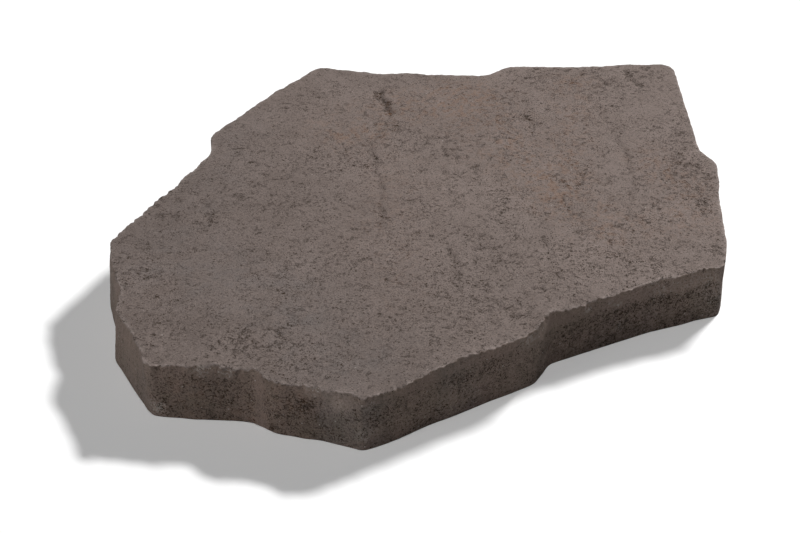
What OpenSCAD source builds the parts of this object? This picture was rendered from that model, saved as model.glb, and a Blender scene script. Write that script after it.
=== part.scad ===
// Irregular stepping stone, pressed from concrete as one solid slab.
//
// Seen from above it has six corners.  Going counter-clockwise they are the heel, the right
// waist, the right shoulder, the nose, the left shoulder and the left waist.  The heel and the
// two shoulders are 120-degree corners, and the two edges that leave such a corner are one
// wavy line, turned by 120 degrees.  Three stones can meet at each of those corners, so that
// copies of the stone, turned by thirds of a turn, nest over a whole patio.
//
// The slab lies on its flat underside at Z = 0, with its heel towards -X and its nose towards
// +X.  The origin is the middle of its bounding box, on the underside.

/* [Slab] */
// Height of the rim above the underside, before the top's relief
thickness = 43; // [35:0.5:60]
// Radius of the nose corner
nose_radius = 12; // [4:0.5:16]
// Radius of the five other corners
corner_radius = 8; // [3:0.5:12]
// Radius of the bends along the wavy edges
bend_radius = 14; // [4:0.5:20]
// Length of edge over which a jog steps back
jog_run = 20; // [12:0.5:24]
// Distance from the far end of an edge to its last bend
tail_back = 27; // [18:0.5:34]

/* [Heel edges] */
// Length of each of the two edges that meet at the heel
heel_edge = 139; // [115:0.5:168]
// Distance from the heel to the first bend
heel_hump_at = 30; // [15:0.5:34]
// How far the first bend stands off the straight line
heel_hump = 4.5; // [0:0.5:8]
// Distance from the heel to the middle of the jog
heel_jog_at = 74; // [62:0.5:78]
// How far the edge stands off the straight line where the jog starts
heel_crest = 11; // [6:0.5:14]
// How far the edge stands off the straight line where the jog ends
heel_foot = 3.5; // [0:0.5:5]
// How far the last bend stands off the straight line
heel_tail = 3; // [-4:0.5:4]

/* [Left shoulder edges] */
// Length of each of the two edges that meet at the left shoulder
left_edge = 278; // [236:0.5:334]
// Distance from the left shoulder to the first bend
left_hump_at = 50; // [25:0.5:60]
// How far the first bend stands off the straight line
left_hump = 10.5; // [0:0.5:14]
// Distance from the left shoulder to the middle of the jog
left_jog_at = 138; // [90:0.5:165]
// How far the edge stands off the straight line where the jog starts
left_crest = 18; // [6:0.5:22]
// How far the edge stands off the straight line where the jog ends
left_foot = 3; // [0:0.5:5]
// How far the last bend stands off the straight line
left_tail = 2.5; // [-4:0.5:4]

/* [Right shoulder edges] */
// Length of each of the two edges that meet at the right shoulder
right_edge = 278; // [236:0.5:334]
// Distance from the right shoulder to the first bend
right_hump_at = 50; // [25:0.5:60]
// How far the first bend stands off the straight line
right_hump = 9; // [0:0.5:14]
// Distance from the right shoulder to the middle of the jog
right_jog_at = 138; // [90:0.5:165]
// How far the edge stands off the straight line where the jog starts
right_crest = 14; // [6:0.5:22]
// How far the edge stands off the straight line where the jog ends
right_foot = 2.5; // [0:0.5:5]
// How far the last bend stands off the straight line
right_tail = -1; // [-4:0.5:4]

/* [Riven top] */
// Height of the broadest swell, which the other swells and hollows are scaled by
swell_height = 1.8; // [0:0.1:4]
// Depth of the surface at the foot of a ledge
ledge_drop = 1.6; // [0:0.1:3]
// Distance over which the surface climbs back from the foot of a ledge
ledge_reach = 30; // [15:1:60]
// Spacing of the points that the top surface is drawn through
relief_step = 10; // [8:1:20]

/* [Hidden] */

STONE_GREY = [0.46, 0.42, 0.39];
// Largest angle that one flat of a rounded corner turns through
ARC_STEP = 12;
// A bend that turns by less than this angle is left as a plain point
LEAST_TURN = 0.5;
// Room that the relief's block leaves around and under the slab, which trims it
TRIM = 5;

// Each swell is [x, y, radius, share of swell_height], and a hollow has a negative share
SWELLS = [
    [-205, 20, 55, 0.8],
    [-150, 95, 50, -0.6],
    [-120, -110, 60, 0.9],
    [-60, 40, 90, 1],
    [-70, -110, 40, -0.5],
    [0, -130, 50, 0.5],
    [20, 150, 60, 0.7],
    [55, -30, 70, -0.7],
    [110, 70, 60, 0.8],
    [120, -110, 45, 0.6],
    [190, 20, 60, -0.5],
    [230, -10, 35, 0.5],
];

// Each ledge is a line of [x, y] points, and the surface on its right-hand side is the lower
LEDGES = [
    [[80, 165], [70, 135], [64, 108], [40, 100], [15, 92], [0, 72], [-22, 47], [-50, 12]],
    [[165, -30], [150, -52], [128, -80], [100, -95], [66, -106]],
];

// A right-hand normal and a cross product, both in the plane
function right_of(v) = [v[1], -v[0]] / norm(v);
function cross_z(a, b) = a[0] * b[1] - a[1] * b[0];
function turned(p, angle) =
    [p[0] * cos(angle) - p[1] * sin(angle), p[0] * sin(angle) + p[1] * cos(angle)];
function reversed(list) = [for (i = [len(list) - 1:-1:0]) list[i]];
function smooth(t) = t * t * (3 - 2 * t);

// The 120-degree corner whose two equal edges end at p and q, on the right of the line p to q
function apex(p, q) = (p + q) / 2 + right_of(q - p) * norm(q - p) / (2 * sqrt(3));

// The waists and the nose form a triangle whose sides are sqrt(3) times the edges beside them
WAIST_SPAN = sqrt(3) * heel_edge;
LEFT_SPAN = sqrt(3) * left_edge;
RIGHT_SPAN = sqrt(3) * right_edge;
NOSE_Y = (RIGHT_SPAN ^ 2 - LEFT_SPAN ^ 2 + WAIST_SPAN ^ 2) / (2 * WAIST_SPAN);
RIGHT_WAIST = [0, 0];
LEFT_WAIST = [0, WAIST_SPAN];
NOSE = [sqrt(RIGHT_SPAN ^ 2 - NOSE_Y ^ 2), NOSE_Y];
HEEL = apex(LEFT_WAIST, RIGHT_WAIST);
RIGHT_SHOULDER = apex(RIGHT_WAIST, NOSE);
LEFT_SHOULDER = apex(NOSE, LEFT_WAIST);

// The bends of one edge as [distance from its 120-degree corner, offset to the right]
function bends(edge, hump_at, hump, jog_at, crest, foot, tail) = [
    [hump_at, hump],
    [jog_at - jog_run / 2, crest],
    [jog_at + jog_run / 2, foot],
    [edge - tail_back, tail],
];
HEEL_BENDS =
    bends(heel_edge, heel_hump_at, -heel_hump, heel_jog_at, -heel_crest, -heel_foot, -heel_tail);
LEFT_BENDS =
    bends(left_edge, left_hump_at, left_hump, left_jog_at, left_crest, left_foot, left_tail);
RIGHT_BENDS =
    bends(right_edge, right_hump_at, right_hump, right_jog_at, right_crest, right_foot, right_tail);

// Places a list of bends on the edge from a 120-degree corner to the corner at its far end,
// each as [point, radius]
function laid(bend_list, corner, far_end) =
    let (along = (far_end - corner) / norm(far_end - corner))
    [for (b = bend_list) [corner + along * b[0] + right_of(along) * b[1], bend_radius]];

// All the corners and bends, counter-clockwise from the heel
KNEES = concat(
    [[HEEL, corner_radius]],
    laid(HEEL_BENDS, HEEL, RIGHT_WAIST),
    [[RIGHT_WAIST, corner_radius]],
    reversed(laid(RIGHT_BENDS, RIGHT_SHOULDER, RIGHT_WAIST)),
    [[RIGHT_SHOULDER, corner_radius]],
    laid(RIGHT_BENDS, RIGHT_SHOULDER, NOSE),
    [[NOSE, nose_radius]],
    reversed(laid(LEFT_BENDS, LEFT_SHOULDER, NOSE)),
    [[LEFT_SHOULDER, corner_radius]],
    laid(LEFT_BENDS, LEFT_SHOULDER, LEFT_WAIST),
    [[LEFT_WAIST, corner_radius]],
    reversed(laid(HEEL_BENDS, HEEL, LEFT_WAIST))
);

// An arc of the radius, in place of the knee between its two neighbours.  It starts less than
// half way along the shorter of the lines to them, so that neighbouring arcs never meet.
function rounded(before, knee, after, radius) =
    let (
        line_in = knee - before,
        line_out = after - knee,
        turn = atan2(cross_z(line_in, line_out), line_in * line_out),
        room = 0.45 * min(norm(line_in), norm(line_out)),
        reach = min(radius * tan(abs(turn) / 2), room)
    )
    abs(turn) < LEAST_TURN
        ? [knee]
        : let (
            start = knee - line_in / norm(line_in) * reach,
            centre = start - sign(turn) * right_of(line_in) * reach / tan(abs(turn) / 2),
            flats = ceil(abs(turn) / ARC_STEP)
        )
        [for (i = [0:flats]) centre + turned(start - centre, turn * i / flats)];

KNEE_COUNT = len(KNEES);
RAW_OUTLINE = [
    for (i = [0:KNEE_COUNT - 1])
        each rounded(
            KNEES[(i + KNEE_COUNT - 1) % KNEE_COUNT][0],
            KNEES[i][0],
            KNEES[(i + 1) % KNEE_COUNT][0],
            KNEES[i][1]
        )
];

// The outline is turned to put the nose straight ahead of the heel, and then centred
NOSE_DIRECTION = atan2(NOSE[1] - HEEL[1], NOSE[0] - HEEL[0]);
TURNED_OUTLINE = [for (p = RAW_OUTLINE) turned(p, -NOSE_DIRECTION)];
function lowest(points) = [min([for (p = points) p[0]]), min([for (p = points) p[1]])];
function highest(points) = [max([for (p = points) p[0]]), max([for (p = points) p[1]])];
MIDDLE = (lowest(TURNED_OUTLINE) + highest(TURNED_OUTLINE)) / 2;
OUTLINE = [for (p = TURNED_OUTLINE) p - MIDDLE];
HALF_SIZE = highest(OUTLINE);

// How far p lies from the line a to b, positive on its right-hand side
function signed_distance(p, a, b) =
    let (
        t = max(0, min(1, (p - a) * (b - a) / ((b - a) * (b - a)))),
        away = p - (a + (b - a) * t)
    )
    norm(away) * (cross_z(b - a, p - a) < 0 ? 1 : -1);

// The signed distance from p to the nearest line of a ledge
function ledge_distance(p, ledge) =
    let (
        distances = [for (i = [1:len(ledge) - 1]) signed_distance(p, ledge[i - 1], ledge[i])],
        nearest = min([for (d = distances) abs(d)])
    )
    [for (d = distances) if (abs(d) == nearest) d][0];

function swell(p, s) =
    let (share = norm(p - [s[0], s[1]]) / s[2])
    share < 1 ? s[3] * swell_height * smooth(1 - share) : 0;

function ledge_hollow(p, ledge) =
    let (d = ledge_distance(p, ledge))
    d > 0 && d < ledge_reach ? -ledge_drop * smooth(1 - d / ledge_reach) : 0;

function sum(list) = list * [for (v = list) 1];

function top_height(p) =
    thickness + sum([for (s = SWELLS) swell(p, s)]) + sum([for (l = LEDGES) ledge_hollow(p, l)]);

// The block under the riven surface: a grid of points on top, a rim of points below it and one
// point in the middle of its underside
GRID_X = ceil((2 * HALF_SIZE[0] + 2 * TRIM) / relief_step);
GRID_Y = ceil((2 * HALF_SIZE[1] + 2 * TRIM) / relief_step);

function grid_point(i, j) = [(i - GRID_X / 2) * relief_step, (j - GRID_Y / 2) * relief_step];
function grid_index(i, j) = j * (GRID_X + 1) + i;

// The grid's rim, counter-clockwise from its lowest corner, as [i, j] pairs
GRID_RIM = concat(
    [for (i = [0:GRID_X - 1]) [i, 0]],
    [for (j = [0:GRID_Y - 1]) [GRID_X, j]],
    [for (i = [GRID_X:-1:1]) [i, GRID_Y]],
    [for (j = [GRID_Y:-1:1]) [0, j]]
);
RIM_COUNT = len(GRID_RIM);
RIM_START = (GRID_X + 1) * (GRID_Y + 1);
UNDER_MIDDLE = RIM_START + RIM_COUNT;

BLOCK_POINTS = concat(
    [
        for (j = [0:GRID_Y], i = [0:GRID_X])
            let (p = grid_point(i, j)) [p[0], p[1], top_height(p)]
    ],
    [for (r = GRID_RIM) let (p = grid_point(r[0], r[1])) [p[0], p[1], -TRIM]],
    [[0, 0, -TRIM]]
);

// Triangles, each clockwise when it is seen from outside the block
BLOCK_FACES = concat(
    [
        for (j = [0:GRID_Y - 1], i = [0:GRID_X - 1])
            [grid_index(i, j), grid_index(i + 1, j + 1), grid_index(i + 1, j)]
    ],
    [
        for (j = [0:GRID_Y - 1], i = [0:GRID_X - 1])
            [grid_index(i, j), grid_index(i, j + 1), grid_index(i + 1, j + 1)]
    ],
    [
        for (k = [0:RIM_COUNT - 1])
            let (
                here = GRID_RIM[k],
                next = GRID_RIM[(k + 1) % RIM_COUNT],
                below = RIM_START + k,
                below_next = RIM_START + (k + 1) % RIM_COUNT,
                above = grid_index(here[0], here[1]),
                above_next = grid_index(next[0], next[1])
            )
            each [
                [below, above, above_next],
                [below, above_next, below_next],
                [UNDER_MIDDLE, below, below_next],
            ]
    ]
);

module stone() {
    color(STONE_GREY)
        intersection() {
            linear_extrude(height = thickness + 2 * TRIM)
                polygon(OUTLINE);
            polyhedron(points = BLOCK_POINTS, faces = BLOCK_FACES);
        }
}

stone();
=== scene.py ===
"""The looks of the stepping stone, and the pale studio that it lies in.

The stone is one slab of pressed concrete.  Its outline and its broad relief are the CAD node's.
What is made here is what the press and the riven mould leave on such a slab: ledges, nicks and
pits in the face, a crumbled arris, and sides with a smooth band over a rough body.

Every place is in the CAD frame: X runs from the heel to the nose, Y to the left shoulder, and Z
up from the underside.  Lengths are in metres, and those of the tables are in mm times MM.
"""

import itertools
import math

import bpy
import numpy as np
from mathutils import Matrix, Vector
from mathutils.bvhtree import BVHTree
from mathutils.geometry import delaunay_2d_cdt
from mathutils.kdtree import KDTree


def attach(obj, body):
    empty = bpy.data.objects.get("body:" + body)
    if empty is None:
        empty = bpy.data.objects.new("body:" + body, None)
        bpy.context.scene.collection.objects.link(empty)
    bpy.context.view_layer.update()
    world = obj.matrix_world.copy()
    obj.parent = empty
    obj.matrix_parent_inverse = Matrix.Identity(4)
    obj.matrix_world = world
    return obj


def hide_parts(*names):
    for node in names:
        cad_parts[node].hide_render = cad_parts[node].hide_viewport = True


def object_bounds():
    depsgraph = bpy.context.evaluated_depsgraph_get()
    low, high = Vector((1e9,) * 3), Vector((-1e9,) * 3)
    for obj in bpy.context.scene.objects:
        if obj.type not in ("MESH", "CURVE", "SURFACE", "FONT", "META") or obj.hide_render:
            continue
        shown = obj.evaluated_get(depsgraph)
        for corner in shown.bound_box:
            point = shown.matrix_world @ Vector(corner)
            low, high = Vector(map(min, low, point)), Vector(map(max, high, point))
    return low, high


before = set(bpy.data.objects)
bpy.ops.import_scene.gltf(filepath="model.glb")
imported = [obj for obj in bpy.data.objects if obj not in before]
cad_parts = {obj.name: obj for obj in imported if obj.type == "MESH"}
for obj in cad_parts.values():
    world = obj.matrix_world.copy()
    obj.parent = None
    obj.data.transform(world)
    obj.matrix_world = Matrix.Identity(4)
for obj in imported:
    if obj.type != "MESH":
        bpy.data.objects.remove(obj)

cad_box = [list(corner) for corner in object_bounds()]

MM = 0.001


def rows(names, *values):
    """A table as one dict for each row, with the columns named in their order."""
    return [dict(zip(names.split(), row)) for row in values]


# ------------------------------------------------------------------ how finely the slab is drawn

FACE_STEP = 1.7 * MM  # between neighbouring points of the riven face
WALL_STEP = 1.03 * MM  # between neighbouring columns of the sides
UNDER_STEP = 8 * MM  # between neighbouring points of the underside
FACE_CLEARANCE = 0.75 * FACE_STEP  # of the face's points from its rim, so that no sliver is made
UNDER_CLEARANCE = 0.6 * UNDER_STEP  # the same for the underside
RELIEF_STEP = 2 * MM  # between the points where the CAD node's top is measured
RELIEF_BLUR = 7 * MM  # takes the flat facets out of the measured top

# ------------------------------------------------------------------------------- the riven face

# Each ledge is a line of places in mm, with the lower side on its right: how far the face steps
# down there, and how far from the line it has climbed back, in mm.  It fades towards its ends.
LEDGES = rows(
    "step reach line",
    (1.2, 11, ((100, 145), (70, 125), (65, 105), (20, 85))),
    (1.1, 11, ((40, 95), (20, 85), (0, 60), (-15, 40), (-60, -5))),
    (1.2, 13, ((160, -30), (135, -65), (110, -90), (70, -115))),
    (0.9, 10, ((10, -10), (45, -10), (65, 5))),
    (0.8, 10, ((-35, -45), (-55, -65), (-70, -85))),
    (0.7, 8, ((90, -85), (65, -100))),
    (0.8, 9, ((155, -65), (155, -95), (160, -110))),
    (0.8, 8, ((-185, -20), (-190, -50))),
    (0.65, 9, ((75, 60), (20, 10))),
    (0.7, 8, ((-190, -70), (-200, -90))),
    (0.4, 9, ((125, 30), (125, 10))),
    (0.45, 9, ((235, 20), (225, -10))),
)

# Each nick is a torn hollow: its half width and depth in mm, along a line of places in mm
NICKS = rows(
    "width depth line",
    (2.3, 1.3, ((75, 135), (70, 120), (60, 105))),
    (2.6, 0.9, ((80, 135), (75, 130))),
    (2.2, 0.6, ((125, 30), (120, 15))),
    (2.5, 0.9, ((235, 20), (225, -5))),
    (1.9, 0.7, ((-65, -115), (-65, -125))),
    (1.8, 0.6, ((15, -85), (10, -90))),
    (2.0, 0.7, ((160, -100), (160, -110))),
    (2.2, 0.6, ((80, 90), (80, 80))),
    (2.6, 0.4, ((125, -130), (115, -150))),
    (2.0, 0.5, ((130, 60), (140, 60))),
    (1.9, 0.6, ((-40, -50), (-60, -75))),
    (1.8, 0.5, ((75, -140), (75, -150))),
    (1.8, 0.6, ((60, -175), (65, -175))),
    (1.8, 0.5, ((-175, -80), (-170, -85))),
    (1.8, 0.45, ((-130, -80), (-130, -90))),
    (2.4, 0.4, ((-45, 10), (-45, 5))),
    (2.4, 0.45, ((-45, -20), (-50, -25))),
    (1.8, 0.5, ((65, 10), (70, 10))),
    (2.2, 0.7, ((205, 40), (210, 40))),
    (2.2, 0.8, ((210, 20), (210, 15))),
    (2.2, 0.8, ((40, 160), (40, 165))),
    (2.2, 0.5, ((90, 130), (95, 125))),
)

# Where the press left the face calm, or rough below zero: how calm it is, and how far that
# reaches in mm from a line of places in mm.  At 1 the face would have no pores at all.
CALM_PLACES = rows(
    "calm reach line",
    (0.3, 22, ((-95, 155), (-10, 185), (65, 190))),
    (0.27, 17, ((30, 110), (85, 165))),
    (0.18, 18, ((115, 130), (135, 105))),
    (0.29, 14, ((-190, 120), (-180, 120))),
    (0.32, 22, ((-165, 55), (-160, 75))),
    (0.22, 14, ((-185, 25), (-180, 20))),
    (0.14, 14, ((-255, -5), (-225, -5))),
    (0.16, 14, ((95, 65), (90, 60))),
    (0.22, 14, ((30, 40), (20, 35))),
    (0.16, 12, ((-40, 30), (-15, 20))),
    (0.16, 14, ((-135, -25), (-130, -20))),
    (0.22, 12, ((140, -5), (135, 0))),
    (0.25, 15, ((120, -55), (110, -70), (70, -100), (40, -80))),
    (0.22, 12, ((245, -20), (240, -25))),
    (0.25, 13, ((-195, -110), (-165, -120))),
    (0.18, 12, ((-150, -130), (-145, -125))),
    (0.18, 12, ((-85, -145), (-80, -145))),
    (0.12, 9, ((-40, -150), (60, -185))),
    (0.1, 9, ((-195, -115), (-60, -150))),
    (0.08, 8, ((-255, -10), (-205, -105))),
    (-0.2, 10, ((245, 20), (240, 10))),
    (-0.22, 20, ((-10, -115), (80, -120))),
    (-0.12, 12, ((-110, -140), (-105, -130))),
    (-0.32, 16, ((-220, -15), (-190, -45), (-185, -75))),
    (-0.2, 15, ((170, -100), (120, -145))),
    (-0.29, 11, ((-240, 65), (-230, 80))),
    (-0.18, 14, ((135, 25), (130, 20))),
    (-0.22, 12, ((-65, -120), (-60, -145))),
    (-0.22, 14, ((-140, -60), (-130, -85))),
    (-0.18, 10, ((-160, -110), (-150, -105))),
    (-0.18, 12, ((-200, 75), (-195, 80))),
    (-0.18, 13, ((-140, 100), (-135, 95))),
    (-0.14, 12, ((30, -35), (35, -30))),
)

# ------------------------------------------------------------------------------------ the sides

BAND_FOOT = 30.5 * MM  # height above the underside where the smooth band ends
BAND_PROUD = 0.35 * MM  # how far the smooth band stands out of the rough body
BASE_ROUND = 0.15 * MM  # radius of the corner at the base

# How smooth the sides are above and below the band's foot, or rough below zero: how far it
# reaches in mm, and how much higher than usual the foot is in mm, along a line of places in mm
SMOOTH_BANDS = rows(
    "reach above below rise line",
    (12, 0.42, -0.12, 0, ((-30, -156), (10, -172), (50, -188))),
    (8, 0.45, 0.0, 1, ((-60, -154), (-44, -150))),
    (12, 0.42, 0.04, 4.5, ((-185, -125), (-80, -152))),
    (9, 0.32, 0.0, 5, ((-248, -21), (-226, -50))),
    (4.5, 0.75, 0.5, 0, ((-225, -55), (-220, -60))),
    (7, 0.38, 0.0, 4, ((-220, -75), (-205, -95))),
    (4, 0.6, 0.15, 0, ((-203, -103), (-200, -110))),
    (6, 0.25, -0.1, 0, ((60, -190), (78, -190))),
    (8, 0.5, 0.35, 0, ((-261, 8), (-200, 112))),
    (14, 0.7, 0.1, 0, ((-190, 126), (-60, 160))),
    (16, 0.6, 0.05, 0, ((0, 175), (71, 194), (150, 118), (255, 10))),
    (16, 0.7, 0.1, 0, ((262, -12), (170, -90), (90, -178))),
)

# Stretches of the arris that broke when the riven face was struck: how far its crumbs and its
# scallops go in, in mm, and how wide the scallops are, in mm
BROKEN_ARRIS = rows(
    "crumbs scallops size line",
    (0.3, 1.5, 13, ((-196, 120), (-150, 128), (-95, 150))),
    (0.12, 1.2, 30, ((-62, 160), (60, 192))),
    (0.3, 0.8, 12, ((-200, 110), (-260, 10))),
    (1.15, 0.4, 14, ((-262, -8), (-228, -60), (-200, -112))),
    (0.75, 0.3, 14, ((-194, -122), (-60, -154))),
    (0.8, 0.2, 14, ((-44, -147), (-16, -158))),
    (0.55, 0.1, 14, ((0, -164), (71, -195))),
)
SOUND_CRUMBS = 0.1  # mm, of the rest of the arris
BREAK_FADE = (6 * MM, 16 * MM)  # from a broken stretch, where the break begins and ends to fade

# Where the side stands out from the line of the outline: how far out it goes at the arris and at
# the base in mm, and how far round the outline that reaches in mm from a line of places in mm
EDGE_SHIFTS = rows(
    "top base reach line",
    (1.0, 4.2, 14, ((-206, 108), (-232, 74))),
    (-0.6, 1.6, 14, ((-240, 62), (-256, 30))),
    (-1.4, 0.0, 8, ((-224, 76), (-236, 64))),
    (2.0, -0.8, 4.5, ((-263, -1), (-264, 2))),
    (0.0, -1.1, 7, ((-260, -5), (-255, -15))),
    (0.0, -0.8, 9, ((-243, -27), (-231, -41))),
    (2.4, 0.4, 5, ((-222, -67), (-221, -73))),
    (0.0, -0.8, 7, ((-219, -74), (-217, -79))),
    (-0.8, -1.5, 9, ((-206, -94), (-197, -114))),
    (0.0, -0.8, 9, ((-166, -129), (-146, -133))),
    (-0.9, -0.8, 12, ((-150, -135), (-105, -145))),
    (0.0, -1.1, 9, ((-45, -145), (-10, -160), (50, -185))),
    (0.3, -2.0, 7, ((60, -188), (68, -192))),
    (1.6, 1.9, 6, ((78, -194), (84, -188), (98, -180))),
    (1.3, 1.4, 10, ((-204, 112), (-192, 124))),
    (1.1, 1.1, 9, ((-184, 126), (-140, 139))),
    (1.5, 1.5, 8, ((-104, 150), (-72, 160))),
    (0.8, 0.8, 9, ((-60, 176), (-24, 182), (5, 189))),
    (0.9, 0.9, 8, ((26, 192), (64, 195), (76, 190))),
    (1.8, 1.8, 9, ((112, 138), (127, 121), (146, 100))),
    (1.1, 1.1, 8, ((178, 86), (200, 64))),
    (1.9, 1.9, 8, ((240, 25), (258, 10))),
    (1.4, 1.4, 9, ((253, -16), (184, -89), (170, -108))),
    (-1.7, -1.7, 9, ((141, -140), (116, -161))),
)

# Lumps of the rim, or dips below zero: how high each stands in mm, and how far it reaches in mm
# from a line of places in mm
RIM_LUMPS = rows(
    "high reach line",
    (-0.8, 9, ((-262, -6), (-246, -22))),
    (2.0, 7, ((-243, -25), (-237, -32))),
    (0.2, 6, ((-225, -50), (-225, -55))),
    (0.0, 8, ((-222, -66), (-221, -72))),
    (-0.8, 6, ((-215, -81), (-209, -90))),
    (-1.0, 5, ((-204, -101), (-203, -105))),
    (1.5, 5, ((-202, -107), (-199, -112))),
    (-1.5, 9, ((-190, -125), (-175, -130))),
    (-1.3, 8, ((-168, -130), (-156, -132))),
    (0.8, 7, ((-151, -131), (-146, -133))),
    (1.6, 8, ((-120, -140), (-115, -140))),
    (-0.7, 10, ((-105, -145), (-70, -150))),
    (1.0, 6, ((-73, -153), (-65, -152))),
    (2.6, 8, ((-63, -151), (-48, -146))),
    (0.9, 8, ((-50, -145), (-35, -150))),
    (-2.4, 8, ((-42, -150), (-25, -157))),
    (-1.2, 9, ((-5, -160), (10, -165))),
    (-1.2, 5, ((42, -181), (46, -183))),
    (0.7, 9, ((18, -170), (44, -181))),
    (1.7, 7, ((55, -185), (60, -190))),
)

# ------------------------------------------------------------------------- tints of the cement, painted light and shade

PAINTED_LIGHT_TO_NOSE = 0.08  # painted light: how much paler than the middle the slab is at the nose, the end the key light comes from
PAINTED_SHADE_TO_BASE = 0.02  # painted shade: how much darker than the arris the sides are at the base, next to the floor

# Where the cement's tint changes: how rusty it is, or how cold where that is below zero, and how
# far that reaches in mm from a line of places in mm
FACE_TINTS = rows(
    "tint reach line",
    (0.9, 26, ((20, 110), (70, 105), (120, 80))),
    (0.75, 26, ((120, 80), (80, 10), (55, -115))),
    (0.6, 18, ((195, 40), (60, -65))),
    (0.7, 18, ((145, -75), (130, -120), (100, -150))),
    (0.3, 24, ((10, 45), (-65, -10), (-105, -65))),
    (-0.5, 42, ((-180, 75), (-160, -10), (-175, -80))),
    (-0.3, 30, ((-35, 170), (-120, 120))),
)

SIDE_TINTS = rows(
    "tint reach line",
    (-1.6, 9, ((-207, -102), (-199, -114), (-188, -124))),
    (-1.1, 6, ((-204, -98), (-201, -108))),
    (-0.7, 8, ((-136, -136), (-120, -141))),
    (-0.5, 12, ((-5, -163), (24, -173))),
    (-0.6, 9, ((60, -190), (78, -192))),
    (-0.6, 9, ((-263, 6), (-200, 112))),
    (0.3, 9, ((-254, -15), (-228, -47), (-210, -90))),
)

# Broad places of the face that are paler than the rest, or darker where below zero: by how much,
# and how far that reaches in mm from a line of places in mm.  The broad ones are partly the
# cement's tone and partly painted light, paler towards the key light at the nose.  The narrow
# strips along the near arris are a calmer, paler rim with a painted highlight on it.
PALE_PLACES_AND_PAINTED_LIGHT = rows(
    "pale reach line",
    # partly the cement's tone, partly painted light that is paler towards the key light
    (0.075, 110, ((10, 10), (110, -60))),
    (0.01, 50, ((80, 110), (110, 90))),
    (-0.05, 60, ((-215, -30), (-190, -70))),
    (0.07, 40, ((20, -150), (90, -140))),
    (-0.075, 55, ((-150, 120), (-60, 90))),
    # a paler rim along the near arris, with a painted highlight on it
    (0.04, 9, ((-40, -149), (65, -188))),
    (0.04, 9, ((-196, -117), (-62, -149))),
    (0.035, 8, ((-258, -8), (-203, -107))),
)

# Spots where the sides tore rough: how much rougher each is, how far it reaches in mm, and its
# place in mm with the height above the underside
ROUGH_SPOTS = rows(
    "rough reach place",
    (0.35, 7, (-129, -138, 29)),
    (0.22, 7, (-114, -142, 31)),
    (0.38, 7, (-102, -145, 30)),
    (0.3, 4, (-94, -147, 15)),
    (0.2, 6, (-169, -129, 28)),
    (0.25, 10, (-190, -123, 24)),
    (0.3, 6, (-212, -87, 28)),
    (0.25, 9, (67, -190, 15)),
    (0.15, 8, (-13, -160, 29)),
)

# Crumbs of pale cement that stuck to the sides: how thick they lie, how far they reach in mm,
# and their place in mm with the height above the underside
STUCK_CRUMBS = rows(
    "thick reach place",
    (1.3, 4.5, (-262, -3, 7)),
    (0.9, 2.2, (0, -164, 33)),
    (0.6, 3.5, (2, -164.5, 14)),
    (1.0, 2.5, (-22, -157, 37)),
    (0.4, 3.0, (-6, -161, 36)),
    (0.35, 8.0, (31, -174, 37)),
    (0.3, 9.0, (50, -184, 36)),
    (0.6, 8.0, (74, -192, 14)),
    (0.5, 7.0, (66, -191, 33)),
    (0.7, 4.0, (-190, -125, 34)),
    (0.6, 5.0, (-194, -121, 12)),
    (0.8, 5.0, (-243, -26, 41)),
    (0.7, 5.0, (-232, -38, 41)),
    (0.5, 5.0, (-209, -91, 41)),
    (0.5, 7.0, (-75, -152, 40)),
)

# Spots of the sides that are paler than the rest, or darker where below zero: by how much, how
# far that reaches in mm, and their place in mm with the height above the underside.  Some are
# painted light: a painted highlight down the right waist corner with its white crumb, painted
# light on the left side over its smoother cement, and painted shade in the right front's jog.
PALE_SPOTS_AND_PAINTED_LIGHT = rows(
    "pale reach place",
    # a white crumb and a painted highlight down the right waist corner
    (0.56, 6.5, (-202, -107, 34)),
    (0.10, 9, (-190, -124, 14)),
    (0.30, 17, (-160, -131, 12)),
    (0.25, 17, (-128, -136, 10)),
    (0.06, 16, (-100, -146, 18)),
    (0.26, 13, (68, -193, 26)),
    (0.42, 6, (-262, -3, 7)),
    (0.03, 40, (-130, -136, 22)),
    (0.06, 65, (0, -163, 20)),
    (0.05, 40, (60, -188, 20)),
    (-0.12, 20, (-240, -30, 22)),
    (-0.13, 14, (-240, -30, 39)),
    (-0.08, 9, (-222, -57, 22)),
    (-0.17, 16, (-208, -92, 18)),
    # painted shade in the right front's jog
    (-0.10, 10, (-62, -153, 22)),
    # painted light on the left side, over its smoother and paler cement
    (0.09, 24, (-245, 38, 22)),
    (0.09, 24, (-222, 82, 22)),
)

# ----------------------------------------------------------------------------- random relief

NOISE_EVEN = 3.6  # makes the usual height of ripple() about 1


def cell_number(cell, seed):
    """A scrambled whole number for each cell of a grid, the same in every run."""
    mixed = (
        cell[..., 0].astype(np.uint64) * np.uint64(73856093)
        ^ cell[..., 1].astype(np.uint64) * np.uint64(19349663)
        ^ cell[..., 2].astype(np.uint64) * np.uint64(83492791)
        ^ np.uint64(seed * 2654435761)
    )
    mixed = (mixed ^ (mixed >> np.uint64(15))) * np.uint64(2246822519)
    mixed = (mixed ^ (mixed >> np.uint64(13))) * np.uint64(3266489917)
    return mixed ^ (mixed >> np.uint64(16))


def cell_values(cell, seed):
    """Three values from 0 to 1 for each cell of a grid."""
    number = cell_number(cell, seed)
    return np.stack(
        [((number >> np.uint64(shift)) & np.uint64(0x3FF)) / 1023.0 for shift in (0, 10, 20)], -1
    )


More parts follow.
